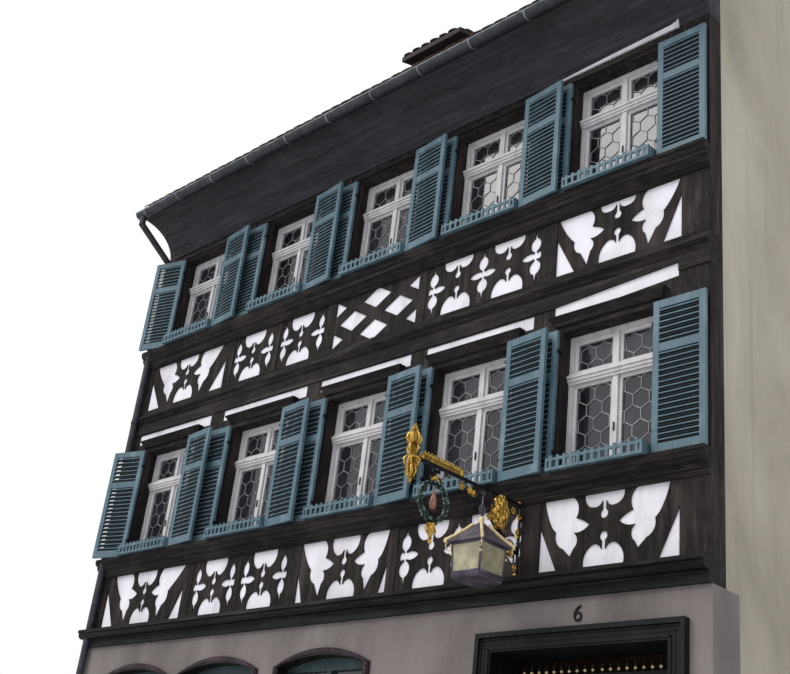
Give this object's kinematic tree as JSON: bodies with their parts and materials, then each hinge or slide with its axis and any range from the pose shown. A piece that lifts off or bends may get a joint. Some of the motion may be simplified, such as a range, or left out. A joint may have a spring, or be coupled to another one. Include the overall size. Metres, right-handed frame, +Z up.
{
  "type": "half timbered house",
  "caption": "Narrow timber framed town house with carved parapet panels, shuttered windows, coved eaves, a steep tiled roof, a barred gate and a hanging sign with a lantern.",
  "frame": {"origin": "middle of the footprint, at the level of the ground the house stands on", "axes": "+Z up, -Y towards the street, +X to the right seen from the street"},
  "size_m": [8.9, 10.2205, 14.8565],
  "materials": {
    "plaster": "matt",
    "infill": "matt",
    "stone": "matt",
    "floor_stone": "matt",
    "floor_wood": "matt",
    "timber": "matt",
    "frame_wood": "satin",
    "shutter_paint": "matt",
    "cove_paint": "matt",
    "zinc": "matt",
    "iron": "satin",
    "gilding": "satin",
    "roof_tile": "matt",
    "window_glass": "gloss",
    "lantern_glass": "satin"
  },
  "bodies": {
    "house": {"cornice_beam": "timber", "door_surround": "stone", "dormer_roof": "roof_tile", "dormer_walls": "plaster", "dormer_window": "frame_wood", "downpipe": "zinc", "eaves_cove": "cove_paint", "first_fretwork": "timber", "first_shutters": "shutter_paint", "first_sill_moulding": "timber", "first_wall": "timber", "first_window_frames": "frame_wood", "floor_attic": "floor_wood", "floor_first": "floor_wood", "floor_ground": "floor_stone", "floor_second": "floor_wood", "flower_rails": "shutter_paint", "front_window_glass": "window_glass", "gate_collars": "iron", "ground_wall_left": "plaster", "ground_wall_right": "plaster", "ground_window_frames": "frame_wood", "gutters": "zinc", "hood_boards": "timber", "house_number": "iron", "middle_beam": "timber", "parapet_infill": "infill", "party_wall_left": "plaster", "party_wall_right": "plaster", "rear_timbers": "timber", "rear_wall": "plaster", "rear_window_frames": "frame_wood", "rear_window_glass": "window_glass", "ridge_tiles": "roof_tile", "roof_front": "roof_tile", "roof_rear": "roof_tile", "second_fretwork": "timber", "second_shutters": "shutter_paint", "second_sill_moulding": "timber", "second_wall": "timber", "second_window_frames": "frame_wood", "sign_bracket": "iron", "sign_gilding": "gilding", "sign_sunflower": "gilding", "wall_over_door": "plaster"},
    "gate_left": {"gate_leaf_left": "iron"},
    "gate_right": {"gate_leaf_right": "iron"},
    "wreath": {"sign_wreath": "gilding"},
    "lantern": {"sign_lantern": "zinc", "lantern_panes": "lantern_glass"}
  },
  "joints": [
    {"name": "gate_left_hinge", "type": "hinge", "parent": "house", "child": "gate_left", "pos_m": [2.337, -3.7, 1.75], "axis": [0, 0, 1], "range_deg": [0, 90]},
    {"name": "gate_right_hinge", "type": "hinge", "parent": "house", "child": "gate_right", "pos_m": [4.053, -3.7, 1.75], "axis": [0, 0, -1], "range_deg": [0, 90]},
    {"name": "wreath_swing", "type": "hinge", "parent": "house", "child": "wreath", "pos_m": [2.52, -5.16, 4.843], "axis": [0, 1, 0], "range_deg": [-20, 20]},
    {"name": "lantern_swing", "type": "hinge", "parent": "house", "child": "lantern", "pos_m": [2.52, -4.54, 4.843], "axis": [0, 1, 0], "range_deg": [-15, 15]}
  ]
}
